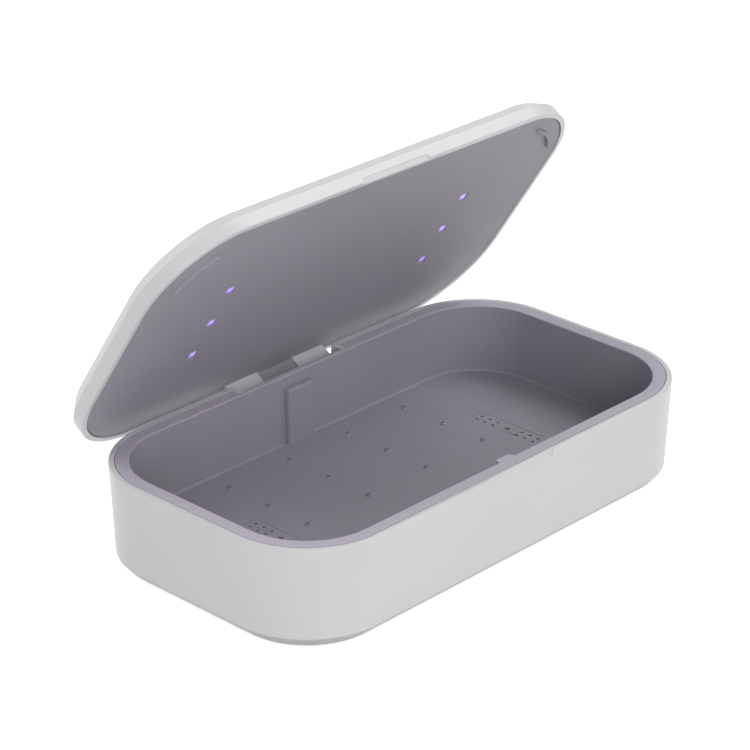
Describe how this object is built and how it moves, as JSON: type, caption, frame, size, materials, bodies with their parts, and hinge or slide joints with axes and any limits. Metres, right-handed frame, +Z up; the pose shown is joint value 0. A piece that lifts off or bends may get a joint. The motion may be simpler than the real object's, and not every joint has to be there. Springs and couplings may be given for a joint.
{
  "type": "uv sterilizer box",
  "caption": "Rounded white table-top box with a grey tray and a hinged lid whose lamps disinfect a phone laid inside; a push button on the lid starts it.",
  "frame": {"origin": "centre of the plane that the four rubber feet stand on, below the middle of the base", "axes": "+X along the long side to the right as seen from the front, -Y to the front with the finger recess, +Z up; at rest the lid stands open as pictured"},
  "size_m": [0.22, 0.1359, 0.1416],
  "materials": {
    "white_shell": "satin moulded",
    "grey_liner": "fine matt moulded",
    "grey_cover": "fine matt moulded",
    "foot_rubber": "matt",
    "screw_steel": "plain",
    "board_laminate": "solder resist",
    "black_plastic": "moulded",
    "flat_lead": "flat ribbon",
    "pad_felt": "pressed felt",
    "lamp_window": "clear, lit violet",
    "clear_lens": "clear",
    "magnet_nickel": "nickel plated"
  },
  "bodies": {
    "base": {"base_shell": "white_shell", "inner_tray": "grey_liner", "scent_grille_left": "grey_liner", "scent_grille_right": "grey_liner", "bottom_cover": "grey_cover", "foot_front_left": "foot_rubber", "foot_front_right": "foot_rubber", "foot_rear_left": "foot_rubber", "foot_rear_right": "foot_rubber", "cover_screws": "screw_steel", "board_screws": "screw_steel", "hinge_pin_left": "screw_steel", "hinge_pin_right": "screw_steel", "charging_socket": "screw_steel", "main_board": "board_laminate", "board_chips": "black_plastic", "lid_sensor": "black_plastic", "base_lead": "flat_lead", "sensor_lead": "flat_lead", "scent_pad_left": "pad_felt", "scent_pad_right": "pad_felt"},
    "lid": {"lid_shell": "white_shell", "lid_panel": "grey_liner", "lamp_board_left": "board_laminate", "lamp_board_right": "board_laminate", "uv_lamps_left": "lamp_window", "uv_lamps_right": "lamp_window", "lid_lead": "flat_lead", "lamp_board_screws": "screw_steel", "button_board_screws": "screw_steel", "button_board": "board_laminate", "push_switch": "black_plastic", "indicator_lens": "clear_lens", "indicator_lamp": "lamp_window", "lid_magnet": "magnet_nickel"},
    "button": {"power_button": "white_shell", "switch_plunger": "black_plastic"}
  },
  "joints": [
    {"name": "lid_hinge", "type": "hinge", "parent": "base", "child": "lid", "pos_m": [0, 0.0593, 0.0326], "axis": [-1, 0, 0], "range_deg": [-56.7, 38.3]},
    {"name": "power_button_press", "type": "slide", "parent": "lid", "child": "button", "axis": [0, -0.8358, -0.549], "range_m": [0, 0.0005], "stiffness_N_per_m": 3000}
  ]
}
